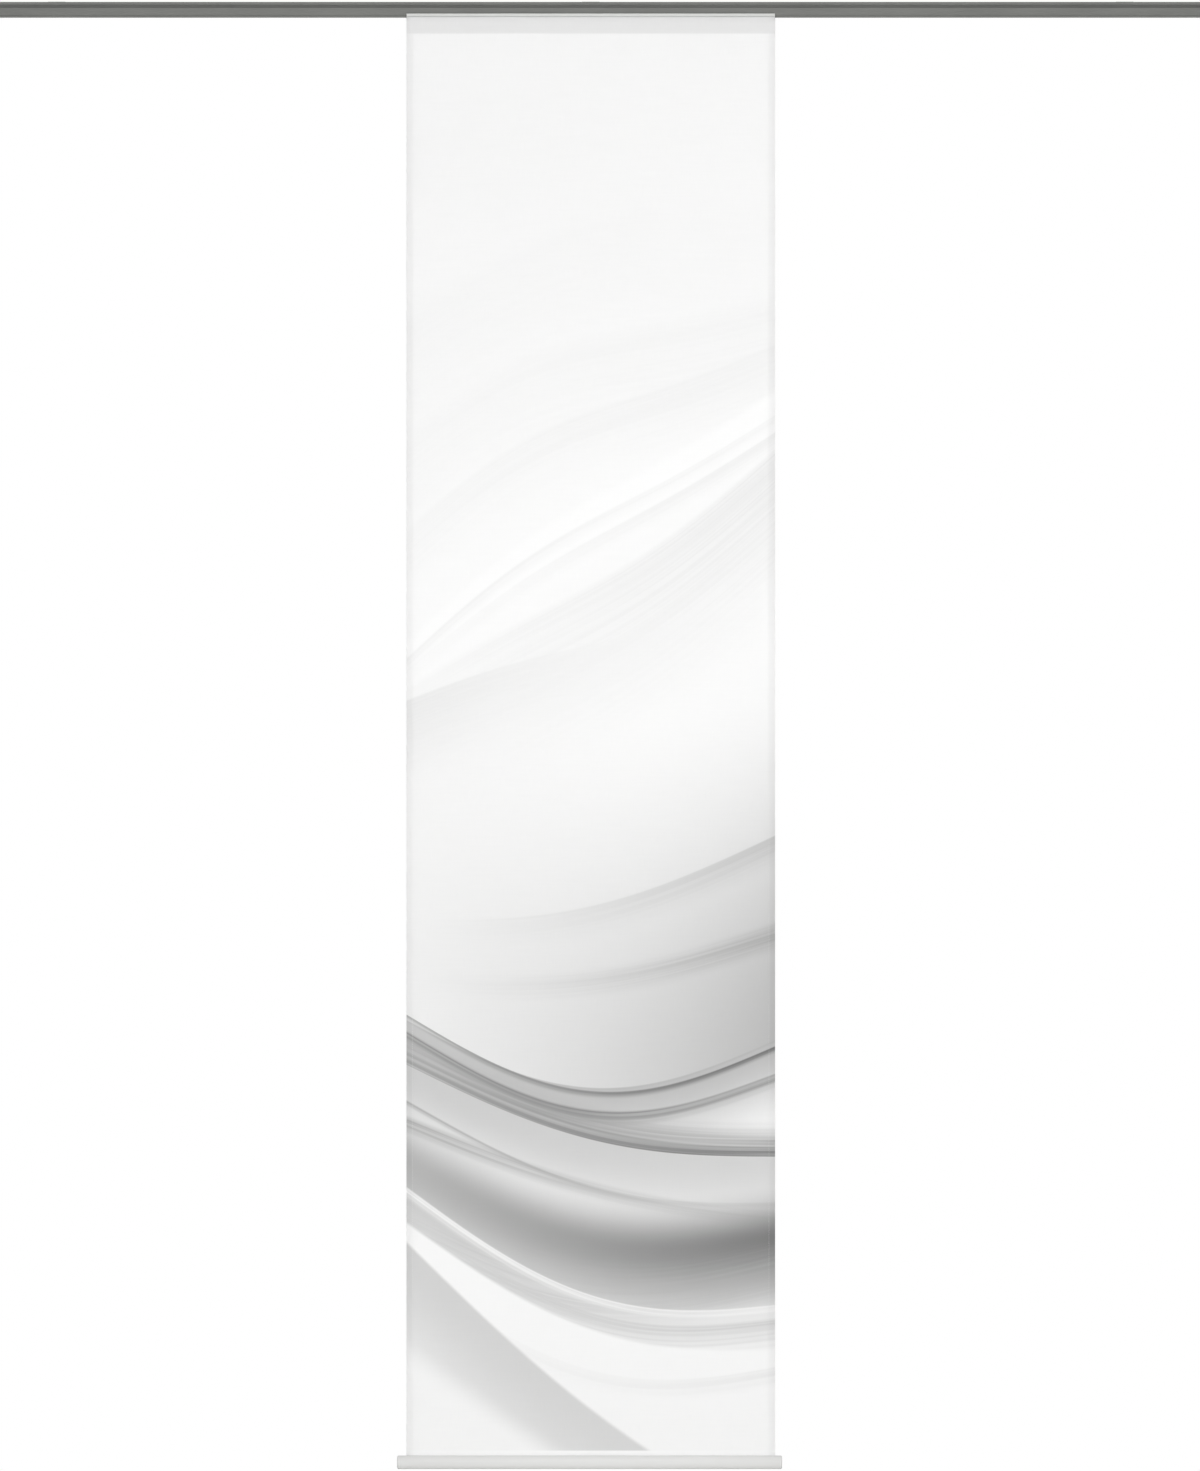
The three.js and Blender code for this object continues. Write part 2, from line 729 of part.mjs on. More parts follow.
function rail() {
  const group = new THREE.Group();
  const clipReach = railLength / 2 - clipInset;
  group.add(
    railProfile(),
    railEndCap(-1),
    railEndCap(1),
    ceilingClip("ceiling_clip_left", -clipReach),
    ceilingClip("ceiling_clip_centre", 0),
    ceilingClip("ceiling_clip_right", clipReach),
    endStop("end_stop_left", -1),
    endStop("end_stop_right", 1),
    stopScrew("stop_screw_left", -1),
    stopScrew("stop_screw_right", 1),
  );
  return group;
}

function panel() {
  const group = new THREE.Group();
  group.add(
    carrierProfile(),
    carrierCap(-1),
    carrierCap(1),
    ...gliderPlaces.map((x, i) => glider(`glider_${i + 1}`, x)),
    hookTape(),
    loopTape(),
    fabricPanel(),
    kederRod(),
    bottomBar(),
    weightStrip(),
    barCap(-1),
    barCap(1),
  );
  return group;
}

const curtain = new THREE.Group();
curtain.add(rail(), panel());

export default curtain;
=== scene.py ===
"""Looks of a sliding panel curtain: a printed cloth panel on a slim carrier in a two-track ceiling rail.

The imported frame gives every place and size. The front of the panel faces -Y, the rail runs along X.
"""

import json
import math
from collections import namedtuple

import bmesh
import bpy
from bpy.props import FloatProperty, FloatVectorProperty, IntProperty, PointerProperty
from mathutils import Matrix, Vector

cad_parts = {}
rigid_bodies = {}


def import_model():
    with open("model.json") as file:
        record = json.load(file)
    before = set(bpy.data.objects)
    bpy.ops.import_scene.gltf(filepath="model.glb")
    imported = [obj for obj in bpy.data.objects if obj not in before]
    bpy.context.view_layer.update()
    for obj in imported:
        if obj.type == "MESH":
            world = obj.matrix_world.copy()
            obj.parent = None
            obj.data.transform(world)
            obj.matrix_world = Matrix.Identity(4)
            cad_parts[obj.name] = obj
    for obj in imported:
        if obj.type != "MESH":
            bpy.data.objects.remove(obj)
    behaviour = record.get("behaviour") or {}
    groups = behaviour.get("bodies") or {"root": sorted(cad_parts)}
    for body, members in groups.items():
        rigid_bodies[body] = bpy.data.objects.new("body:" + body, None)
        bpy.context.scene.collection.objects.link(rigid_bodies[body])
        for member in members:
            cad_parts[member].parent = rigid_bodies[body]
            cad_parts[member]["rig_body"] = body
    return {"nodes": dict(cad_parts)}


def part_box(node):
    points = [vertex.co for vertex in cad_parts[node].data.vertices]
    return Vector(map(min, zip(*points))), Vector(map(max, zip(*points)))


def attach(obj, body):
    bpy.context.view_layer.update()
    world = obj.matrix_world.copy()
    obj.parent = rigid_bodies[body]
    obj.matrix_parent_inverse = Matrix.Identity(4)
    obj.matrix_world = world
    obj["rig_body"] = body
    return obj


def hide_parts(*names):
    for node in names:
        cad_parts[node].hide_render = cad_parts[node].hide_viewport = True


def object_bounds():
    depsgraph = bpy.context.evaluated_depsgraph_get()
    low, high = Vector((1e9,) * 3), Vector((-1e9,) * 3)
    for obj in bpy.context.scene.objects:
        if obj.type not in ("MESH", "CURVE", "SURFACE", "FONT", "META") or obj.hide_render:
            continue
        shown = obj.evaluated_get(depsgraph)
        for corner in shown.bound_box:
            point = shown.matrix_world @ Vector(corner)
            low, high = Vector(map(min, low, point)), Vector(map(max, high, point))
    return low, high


bl_info = {
    "name": "Sliding panel curtain",
    "version": (1, 0, 0),
    "blender": (4, 5, 0),
    "location": "View3D > Sidebar > Curtain",
    "description": "Dresses a sliding panel curtain: cloth, hems, rail, carrier and bottom bar",
    "category": "Object",
}

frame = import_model()
CAD_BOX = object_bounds()

MM = 0.001
SENSOR = 36 * MM

CLOTH_LOW, CLOTH_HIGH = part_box("fabric_panel")
BAR_LOW, BAR_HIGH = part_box("bottom_bar")
KEDER_LOW, KEDER_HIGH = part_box("keder_rod")
KEDER_CENTRE = (KEDER_LOW + KEDER_HIGH) / 2


def linear(colour):
    """The linear colour of an sRGB hex value such as "#7e7f7b"."""
    parts = [int(colour[i : i + 2], 16) / 255 for i in (1, 3, 5)]
    return tuple(c / 12.92 if c <= 0.04045 else ((c + 0.055) / 1.055) ** 2.4 for c in parts)


def length(name, description, millimetres):
    """A length property, given in millimetres and kept in metres."""
    return FloatProperty(
        name=name, description=description, default=millimetres * MM, unit="LENGTH", min=0, precision=5
    )


def colour(name, description, value):
    """A colour property from an sRGB hex value."""
    return FloatVectorProperty(
        name=name, description=description, default=linear(value), subtype="COLOR", size=3, min=0, max=1
    )


class CurtainViewSettings(bpy.types.PropertyGroup):
    lens: FloatProperty(
        name="Lens", description="Focal length in millimetres, long because the photograph is flat",
        default=1250, min=50, max=1300,
    )
    frame_height: length("Frame height", "Height of the view at the cloth", 2395.8)
    centre_x: FloatProperty(
        name="Centre X", description="Where the view's centre is along the rail",
        default=15 * MM, unit="LENGTH",
    )
    centre_z: FloatProperty(
        name="Centre Z", description="Height of the view's centre",
        default=-1195.5 * MM, unit="LENGTH",
    )


class CurtainStageSettings(bpy.types.PropertyGroup):
    floor_gap: length("Floor gap", "Clearance between the bottom bar and the floor", 40)
    floor_radius: length("Floor radius", "Radius of the round floor", 5000)
    sky_light: FloatProperty(
        name="Sky", description="Strength of the all-round light", default=0.3, min=0
    )
    sky_lift: FloatProperty(
        name="Sky lift", description="How much brighter the light is from above than from the side",
        default=0.25, min=0, max=1,
    )
    front_light: FloatProperty(
        name="Front lamp", description="Power of the room-side lamp", default=222, min=0, unit="POWER"
    )
    back_light: FloatProperty(
        name="Back lamp", description="Power of the window-side lamp", default=105, min=0, unit="POWER"
    )
    lamp_size: length("Lamp size", "Side of the square lamps", 4000)
    lamp_distance: length("Lamp distance", "How far the lamps stand from the rail", 4500)
    floor_colour: colour("Floor", "Colour of the floor", "#f1f1ef")


class CurtainClothSettings(bpy.types.PropertyGroup):
    thickness: length("Thickness", "Thickness of one layer of cloth", 0.42)
    layer_gap: length("Layer pitch", "Distance between the middles of two layers", 0.45)
    side_hem: length("Side hem", "Width of the side hems", 11.4)
    top_hem: length("Top hem", "Height of the top hem", 26)
    see_through: FloatProperty(
        name="Translucency", description="Share of the light that goes through one layer of cloth",
        default=0.2, min=0, max=1,
    )
    ripple: length("Ripple", "Height of the slow ripples of the hanging cloth", 0.7)
    stitch_pitch: length("Stitch pitch", "Distance between two stitches", 3)
    stitch_length: length("Stitch length", "Length of one stitch", 2.3)
    thread: length("Thread", "Thickness of the sewing thread", 0.3)
    stitch_inset: length("Stitch inset", "From the hem's inner edge to its stitches", 1.6)
    paper_white: colour("Ground", "Unprinted cloth", "#fbfbfb")
    soft_grey: colour("Soft grey", "Middle tone of the print", "#c4c4c4")
    deep_grey: colour("Deep grey", "Darkest tone of the print", "#6c6c6c")


class CurtainFinishSettings(bpy.types.PropertyGroup):
    rail_grey: colour("Rail", "Titanium-grey anodised aluminium", "#7e7f7c")
    moulding_grey: colour("Mouldings", "Grey end caps and stops", "#7a7b79")
    carrier_white: colour("Carrier", "Pale grey extruded PVC", "#d2d3d1")
    bar_white: colour("Bottom bar", "Off-white extruded PVC", "#dcdcdb")
    glider_white: colour("Gliders", "Natural acetal", "#efeeea")
    spring_steel: colour("Clips", "Rolled spring steel", "#b9b9b6")
    zinc_steel: colour("Screws and strip", "Zinc-plated steel", "#a9acae")
    tape_white: colour("Tapes", "White hook and loop tape", "#dcdcdb")
    thread_white: colour("Thread", "Polyester sewing thread", "#f4f4f2")
    edge_break: length("Edge break", "Rounding of the edges of extruded pieces", 0.15)


class CurtainSettings(bpy.types.PropertyGroup):
    view: PointerProperty(type=CurtainViewSettings)
    stage: PointerProperty(type=CurtainStageSettings)
    cloth: PointerProperty(type=CurtainClothSettings)
    finish: PointerProperty(type=CurtainFinishSettings)


def add_node(tree, kind, inputs=None, **settings):
    """Adds a node, sets its properties, and fills or links its inputs by name or number."""
    node = tree.nodes.new(kind)
    for name, value in settings.items():
        setattr(node, name, value)
    for key, value in (inputs or {}).items():
        if isinstance(value, bpy.types.NodeSocket):
            tree.links.new(value, node.inputs[key])
        elif isinstance(value, (tuple, list)) and len(value) == 3 and node.inputs[key].type == "RGBA":
            node.inputs[key].default_value = (*value, 1)
        else:
            node.inputs[key].default_value = value
    return node


def new_material(name):
    """An empty node material, with its node tree and its output node."""
    material = bpy.data.materials.new(name)
    material.use_nodes = True
    tree = material.node_tree
    tree.nodes.clear()
    return material, tree, tree.nodes.new("ShaderNodeOutputMaterial")


def object_position(tree, scale):
    """Object coordinates in metres, stretched by scale along each axis."""
    place = add_node(tree, "ShaderNodeTexCoord")
    return add_node(
        tree, "ShaderNodeMapping", {"Vector": place.outputs["Object"], "Scale": scale}
    ).outputs["Vector"]


def anodised_aluminium(name, tint):
    """Extruded and anodised: satin, with faint die lines along its length and a slow change of tone."""
    material, tree, output = new_material(name)
    # Real die lines are finer; they are drawn 0.5 mm apart, so that they show.
    die_line = 0.5 * MM
    lines = add_node(
        tree, "ShaderNodeTexNoise",
        {
            "Vector": object_position(tree, (2, 1 / die_line, 1 / die_line)),
            "Scale": 1,
            "Detail": 2,
            "Roughness": 0.6,
        },
    )
    cloud = add_node(
        tree, "ShaderNodeTexNoise",
        {"Vector": object_position(tree, (9, 60, 60)), "Scale": 1, "Detail": 3, "Roughness": 0.6},
    )
    tone = add_node(
        tree, "ShaderNodeMapRange",
        {
            "Value": cloud.outputs["Fac"], "From Min": 0.3, "From Max": 0.7,
            "To Min": 0.93, "To Max": 1.05,
        },
    )
    base = add_node(
        tree, "ShaderNodeMix", {"Factor": 1.0, "A": (*tint, 1), "B": tone.outputs["Result"]},
        data_type="RGBA", blend_type="MULTIPLY",
    )
    rough = add_node(
        tree, "ShaderNodeMapRange",
        {
            "Value": lines.outputs["Fac"], "From Min": 0.3, "From Max": 0.7,
            "To Min": 0.42, "To Max": 0.52,
        },
    )
    bump = add_node(
        tree, "ShaderNodeBump", {"Height": lines.outputs["Fac"], "Distance": 0.02 * MM, "Strength": 0.6}
    )
    shader = add_node(
        tree, "ShaderNodeBsdfPrincipled",
        {
            "Base Color": base.outputs[2],
            "Metallic": 0.85,
            "Roughness": rough.outputs["Result"],
            "Normal": bump.outputs["Normal"],
        },
    )
    tree.links.new(shader.outputs["BSDF"], output.inputs["Surface"])
    return material


def extruded_pvc(name, tint, roughness):
    """Rigid PVC, extruded: satin, with very faint flow lines along its length."""
    material, tree, output = new_material(name)
    flow_line = 0.9 * MM
    lines = add_node(
        tree, "ShaderNodeTexNoise",
        {"Vector": object_position(tree, (3, 1 / flow_line, 1 / flow_line)), "Scale": 1, "Detail": 2},
    )
    tone = add_node(
        tree, "ShaderNodeMapRange",
        {
            "Value": lines.outputs["Fac"], "From Min": 0.3, "From Max": 0.7,
            "To Min": 0.985, "To Max": 1.01,
        },
    )
    base = add_node(
        tree, "ShaderNodeMix", {"Factor": 1.0, "A": (*tint, 1), "B": tone.outputs["Result"]},
        data_type="RGBA", blend_type="MULTIPLY",
    )
    bump = add_node(
        tree, "ShaderNodeBump", {"Height": lines.outputs["Fac"], "Distance": 0.02 * MM, "Strength": 0.4}
    )
    shader = add_node(
        tree, "ShaderNodeBsdfPrincipled",
        {
            "Base Color": base.outputs[2],
            "Roughness": roughness,
            "IOR": 1.5,
            "Normal": bump.outputs["Normal"],
        },
    )
    tree.links.new(shader.outputs["BSDF"], output.inputs["Surface"])
    return material


def moulded_polymer(name, tint, roughness, grain):
    """Polyamide or acetal, injection moulded: an even colour under the fine grain of an eroded mould."""
    material, tree, output = new_material(name)
    speck = add_node(
        tree, "ShaderNodeTexNoise",
        {"Vector": object_position(tree, (1 / grain,) * 3), "Scale": 1, "Detail": 2},
    )
    rough = add_node(
        tree, "ShaderNodeMapRange",
        {"Value": speck.outputs["Fac"], "To Min": roughness - 0.06, "To Max": roughness + 0.06},
    )
    bump = add_node(
        tree, "ShaderNodeBump", {"Height": speck.outputs["Fac"], "Distance": 0.03 * MM, "Strength": 0.5}
    )
    shader = add_node(
        tree, "ShaderNodeBsdfPrincipled",
        {
            "Base Color": (*tint, 1),
            "Roughness": rough.outputs["Result"],
            "IOR": 1.5,
            "Normal": bump.outputs["Normal"],
        },
    )
    tree.links.new(shader.outputs["BSDF"], output.inputs["Surface"])
    return material


def rolled_steel(name, tint, roughness):
    """Cold-rolled strip: metal with short scratches along the rolling direction."""
    material, tree, output = new_material(name)
    scratch_width = 0.4 * MM
    scratch = add_node(
        tree, "ShaderNodeTexNoise",
        {
            "Vector": object_position(tree, (60, 1 / scratch_width, 1 / scratch_width)),
            "Scale": 1,
            "Detail": 3,
        },
    )
    rough = add_node(
        tree, "ShaderNodeMapRange",
        {"Value": scratch.outputs["Fac"], "To Min": roughness - 0.08, "To Max": roughness + 0.1},
    )
    bump = add_node(
        tree, "ShaderNodeBump",
        {"Height": scratch.outputs["Fac"], "Distance": 0.01 * MM, "Strength": 0.5},
    )
    shader = add_node(
        tree, "ShaderNodeBsdfPrincipled",
        {
            "Base Color": (*tint, 1),
            "Metallic": 1.0,
            "Roughness": rough.outputs["Result"],
            "Normal": bump.outputs["Normal"],
        },
    )
    tree.links.new(shader.outputs["BSDF"], output.inputs["Surface"])
    return material


def pile_tape(name, tint, pitch):
    """Hook and loop tape: a matt woven base with a field of small knots."""
    material, tree, output = new_material(name)
    knots = add_node(
        tree, "ShaderNodeTexVoronoi",
        {"Vector": object_position(tree, (1 / pitch,) * 3), "Scale": 1, "Randomness": 0.5},
    )
    # Painted shade: the tape is painted darker in the gaps between the knots, darkest farthest from each
    # knot's middle.
    shade = add_node(
        tree, "ShaderNodeMapRange",
        {"Value": knots.outputs["Distance"], "From Max": 0.7, "To Min": 1.0, "To Max": 0.72},
    )
    base = add_node(
        tree, "ShaderNodeMix", {"Factor": 1.0, "A": (*tint, 1), "B": shade.outputs["Result"]},
        data_type="RGBA", blend_type="MULTIPLY",
    )
    bump = add_node(
        tree, "ShaderNodeBump",
        {"Height": knots.outputs["Distance"], "Distance": 0.4 * MM, "Strength": 0.8},
        invert=True,
    )
    shader = add_node(
        tree, "ShaderNodeBsdfPrincipled",
        {
            "Base Color": base.outputs[2],
            "Roughness": 0.9,
            "Sheen Weight": 0.2,
            "Normal": bump.outputs["Normal"],
        },
    )
    tree.links.new(shader.outputs["BSDF"], output.inputs["Surface"])
    return material


def sewing_thread(name, tint):
    """Spun polyester: matt, with the slanted lay of its two plies."""
    material, tree, output = new_material(name)
    plies = add_node(
        tree, "ShaderNodeTexWave",
        {"Vector": object_position(tree, (1 / MM,) * 3), "Scale": 1.2, "Distortion": 0.4},
        bands_direction="DIAGONAL",
    )
    bump = add_node(
        tree, "ShaderNodeBump", {"Height": plies.outputs["Fac"], "Distance": 0.05 * MM, "Strength": 0.6}
    )
    shader = add_node(
        tree, "ShaderNodeBsdfPrincipled",
        {
            "Base Color": (*tint, 1),
            "Roughness": 0.7,
            "Sheen Weight": 0.15,
            "Normal": bump.outputs["Normal"],
        },
    )
    tree.links.new(shader.outputs["BSDF"], output.inputs["Surface"])
    return material


# The print, with the painted light that goes with it, is a set of veils, painted one over another
# from the top of the cloth to its foot. The top hem's veil is painted shade, and the bare strip at the
# foot is also a painted highlight. A veil's line runs from its left height to its right height, as
# shares of the drop, with a bow at the middle and a swing to either side of it. The veil is crisp over
# `edge` mm at its line and fades out over `fade` mm: downwards, or upwards where that is negative.
# Its tone goes from 0, bare cloth, to 1, the deepest grey. Tone and cover change from the left edge
# to the right.
Veil = namedtuple("Veil", "left right bow swing edge fade tone cover streak")
VEILS = (
    # Haze in the upper half
    Veil(0.900, 0.840, 0.020, 0.000, 260, 420, (0.06, 0.04), (0.7, 0.5), 0),
    Veil(0.780, 0.850, 0.030, 0.000, 60, 330, (0.08, 0.05), (0.8, 0.5), 0.3),
    Veil(0.700, 0.795, 0.020, 0.006, 40, 200, (0.09, 0.09), (0.6, 0.7), 0.4),
    Veil(0.640, 0.770, 0.018, 0.006, 14, 120, (0.11, 0.10), (0.6, 0.8), 0.5),
    # Bright sweep that rises to the right, with fine lines along it
    Veil(0.560, 0.735, 0.012, 0.005, 20, 120, (0.00, 0.00), (0.9, 1.0), 0),
    Veil(0.553, 0.722, 0.012, 0.005, 5, 26, (0.12, 0.10), (0.8, 0.7), 0.4),
    Veil(0.545, 0.710, 0.008, 0.004, 5, 34, (0.08, 0.14), (0.5, 0.9), 0.4),
    Veil(0.530, 0.695, -0.012, 0.004, 16, 320, (0.08, 0.18), (0.6, 0.9), 0.4),
    Veil(0.524, 0.610, -0.004, 0.004, 4, 160, (0.17, 0.04), (1.0, 0.3), 0.2),
    # Shade that gathers towards the lower half and the right-hand side
    Veil(0.302, 0.288, -0.040, 0.000, 4, -640, (0.20, 0.60), (0.5, 0.9), 0),
    Veil(0.372, 0.430, -0.020, 0.000, 4, 60, (0.26, 0.56), (0.0, 0.8), 0.3),
    Veil(0.330, 0.362, -0.016, 0.000, 26, 34, (0.25, 0.72), (0.0, 0.9), 0.5),
    # First fold: fine dark lines over a broad band with a crisp lower edge
    Veil(0.302, 0.288, -0.040, 0.000, 3, 160, (0.50, 0.58), (0.9, 0.9), 0),
    Veil(0.306, 0.284, -0.042, 0.000, 2, 12, (0.82, 1.00), (0.8, 1.0), 0.3),
    Veil(0.294, 0.264, -0.040, 0.000, 5, 24, (0.84, 0.86), (0.9, 0.9), 0.5),
    Veil(0.272, 0.208, -0.020, 0.000, 2, -64, (0.74, 0.90), (0.9, 1.0), 0.4),
    Veil(0.271, 0.207, -0.020, 0.000, 2, 160, (0.40, 0.34), (1.0, 1.0), 0),
    # Second fold: two lines at the left that sink into the deepest trough
    Veil(0.232, 0.165, -0.012, 0.000, 14, 24, (0.74, 0.60), (0.9, 0.2), 0.5),
    Veil(0.246, 0.175, -0.024, 0.000, 4, 9, (0.70, 0.60), (0.8, 0.3), 0.4),
    Veil(0.205, 0.152, -0.030, 0.000, 90, 170, (0.62, 0.90), (0.9, 1.0), 0),
    Veil(0.160, 0.128, -0.030, 0.000, 60, 60, (0.40, 0.62), (0.7, 0.5), 0.7),
    # Bright ribbons
    Veil(0.186, 0.104, -0.034, 0.000, 3, 24, (0.00, 0.03), (1.0, 0.9), 0.5),
    Veil(0.170, 0.094, -0.034, 0.000, 5, 60, (0.34, 0.48), (0.8, 0.7), 0.5),
    Veil(0.160, 0.072, -0.030, 0.000, 8, 300, (0.00, 0.02), (1.0, 1.0), 0),
    Veil(0.128, 0.060, -0.036, 0.000, 5, 34, (0.10, 0.24), (0.3, 0.6), 0.5),
    # Pale wedge at the foot
    Veil(0.146, -0.050, -0.018, 0.000, 10, 300, (0.34, 0.30), (1.0, 0.9), 0),
    Veil(0.060, -0.120, 0.000, 0.000, 60, 400, (0.02, 0.02), (0.9, 0.9), 0),
    # Top hem: painted shade, darker where the tape behind it keeps light from coming through the cloth
    Veil(0.9889, 0.9889, 0.000, 0.000, 2, -400, (0.11, 0.11), (1.0, 1.0), 0),
    # Bare strip over the bottom bar, where the print stops; its whiter line is also a painted highlight
    # at the fold into the bar
    Veil(0.003, 0.003, 0.000, 0.000, 2, 40, (0.00, 0.00), (1.0, 1.0), 0),
)


def print_and_painted_light_tone(tree):
    """How dark the face of the cloth is, from 0 to 1: the print with its painted shade and highlight,
    every veil mixed over the ones before it.
    """
    drop = CLOTH_HIGH.z - BAR_HIGH.z
    streak_width = 6 * MM
    streak_offset = 3.7
    bare_tone = 0.03
    place = add_node(tree, "ShaderNodeTexCoord").outputs["Object"]
    axes = add_node(tree, "ShaderNodeSeparateXYZ", {"Vector": place})
    across = add_node(
        tree, "ShaderNodeMapRange",
        {"Value": axes.outputs["X"], "From Min": CLOTH_LOW.x, "From Max": CLOTH_HIGH.x},
    ).outputs["Result"]
    height = add_node(
        tree, "ShaderNodeMapRange",
        {"Value": axes.outputs["Z"], "From Min": BAR_HIGH.z, "From Max": CLOTH_HIGH.z},
        clamp=False,
    ).outputs["Result"]
    half_turn = add_node(tree, "ShaderNodeMath", {0: across, 1: math.pi}, operation="MULTIPLY")
    whole_turn = add_node(tree, "ShaderNodeMath", {0: across, 1: 2 * math.pi}, operation="MULTIPLY")
    bell = add_node(tree, "ShaderNodeMath", {0: half_turn.outputs["Value"]}, operation="SINE")
    wave = add_node(tree, "ShaderNodeMath", {0: whole_turn.outputs["Value"]}, operation="SINE")
    total = bare_tone
    for number, veil in enumerate(VEILS):
        line = add_node(
            tree, "ShaderNodeMapRange", {"Value": across, "To Min": veil.left, "To Max": veil.right}
        )
        bowed = add_node(
            tree, "ShaderNodeMath",
            {0: bell.outputs["Value"], 1: veil.bow, 2: line.outputs["Result"]},
            operation="MULTIPLY_ADD",
        )
        swung = add_node(
            tree, "ShaderNodeMath",
            {0: wave.outputs["Value"], 1: veil.swing, 2: bowed.outputs["Value"]},
            operation="MULTIPLY_ADD",
        )
        offset = add_node(
            tree, "ShaderNodeMath", {0: height, 1: swung.outputs["Value"]}, operation="SUBTRACT"
        ).outputs["Value"]
        way = -1 if veil.fade > 0 else 1
        crisp = add_node(
            tree, "ShaderNodeMapRange",
            {"Value": offset, "From Min": -way * veil.edge * MM / drop, "From Max": 0.0},
            interpolation_type="SMOOTHSTEP",
        )
        soft = add_node(
            tree, "ShaderNodeMapRange",
            {"Value": offset, "From Min": way * abs(veil.fade) * MM / drop, "From Max": 0.0},
            interpolation_type="SMOOTHSTEP",
        )
        body = add_node(
            tree, "ShaderNodeMath", {0: crisp.outputs["Result"], 1: soft.outputs["Result"]},
            operation="MULTIPLY",
        )
        cover = add_node(
            tree, "ShaderNodeMapRange",
            {"Value": across, "To Min": veil.cover[0], "To Max": veil.cover[1]},
        ).outputs["Result"]
        if veil.streak:
            # Fine streaks follow the line, because their noise is read along and across it.
            from_line = add_node(
                tree, "ShaderNodeMath",
                {0: offset, 1: drop / streak_width, 2: streak_offset * number},
                operation="MULTIPLY_ADD",
            )
            streak_place = add_node(
                tree, "ShaderNodeCombineXYZ", {"X": across, "Y": from_line.outputs["Value"]}
            )
            noise = add_node(
                tree, "ShaderNodeTexNoise",
                {
                    "Vector": streak_place.outputs["Vector"],
                    "Scale": 1.0,
                    "Detail": 1.0,
                    "Roughness": 0.6,
                },
                noise_dimensions="2D",
            )
            streaked = add_node(
                tree, "ShaderNodeMapRange",
                {
                    "Value": noise.outputs["Fac"], "From Min": 0.35, "From Max": 0.65,
                    "To Min": 1 - veil.streak, "To Max": 1.0,
                },
            )
            cover = add_node(
                tree, "ShaderNodeMath", {0: cover, 1: streaked.outputs["Result"]},
                operation="MULTIPLY",
            ).outputs["Value"]
        amount = add_node(
            tree, "ShaderNodeMath", {0: body.outputs["Value"], 1: cover}, operation="MULTIPLY"
        )
        tone = add_node(
            tree, "ShaderNodeMapRange",
            {"Value": across, "To Min": veil.tone[0], "To Max": veil.tone[1]},
        )
        total = add_node(
            tree, "ShaderNodeMix",
            {0: amount.outputs["Value"], 2: total, 3: tone.outputs["Result"]},
        ).outputs[0]
    return total


def printed_voile(name, settings, printed):
    """Polyester voile: matt, a little translucent, with uneven yarns. The printed face has the veils.

    The dye of a transfer print stays on one face, so the other face is the bare ground.
    """
    material, tree, output = new_material(name)
    if printed:
        ramp = add_node(tree, "ShaderNodeValToRGB", {"Fac": print_and_painted_light_tone(tree)})
        stops = ramp.color_ramp.elements
        stops[0].color = (*settings.paper_white, 1)
        stops[1].color = (*settings.deep_grey, 1)
        stops.new(0.5).color = (*settings.soft_grey, 1)
        ground = ramp.outputs["Color"]
    else:
        ground = (*settings.paper_white, 1)

    # The real yarns are 0.3 mm apart; they are drawn at 0.9 mm, as fine as the render can show.
    yarn = 0.9 * MM
    slub = 3 * yarn
    run = 0.04
    warp = add_node(
        tree, "ShaderNodeTexNoise",
        {"Vector": object_position(tree, (1 / yarn, 1, run / yarn)), "Scale": 1, "Detail": 0},
    )
    weft = add_node(
        tree, "ShaderNodeTexNoise",
        {"Vector": object_position(tree, (run / slub, 1, 1 / slub)), "Scale": 1, "Detail": 1},
    )
    weave = add_node(
        tree, "ShaderNodeMath", {0: warp.outputs["Fac"], 1: weft.outputs["Fac"]}, operation="ADD"
    )
    yarn_shade = add_node(
        tree, "ShaderNodeMapRange",
        {
            "Value": weave.outputs["Value"], "From Min": 0.7, "From Max": 1.3,
            "To Min": 0.985, "To Max": 1.0,
        },
    )
    base = add_node(
        tree, "ShaderNodeMix", {"Factor": 1.0, "A": ground, "B": yarn_shade.outputs["Result"]},
        data_type="RGBA", blend_type="MULTIPLY",
    ).outputs[2]
    bump = add_node(
        tree, "ShaderNodeBump",
        {"Height": weave.outputs["Value"], "Distance": 0.06 * MM, "Strength": 0.35},
    ).outputs["Normal"]
    front = add_node(
        tree, "ShaderNodeBsdfPrincipled",
        {"Base Color": base, "Roughness": 0.9, "Specular IOR Level": 0.15, "Normal": bump},
    )
    through = add_node(tree, "ShaderNodeBsdfTranslucent", {"Color": base, "Normal": bump})
    both = add_node(
        tree, "ShaderNodeMixShader",
        {0: settings.see_through, 1: front.outputs["BSDF"], 2: through.outputs["BSDF"]},
    )
    tree.links.new(both.outputs["Shader"], output.inputs["Surface"])
    return material


def finish_mesh(bm, name, material, smooth_under=40):
    """Turns a bmesh into an object whose round faces are smooth and whose edges stay crisp."""
    mesh = bpy.data.meshes.new(name)
    for face in bm.faces:
        face.smooth = True
    bm.to_mesh(mesh)
    bm.free()
    mesh.set_sharp_from_angle(angle=math.radians(smooth_under))
    mesh.materials.append(material)
    piece = bpy.data.objects.new(name, mesh)
    bpy.context.scene.collection.objects.link(piece)
    return piece


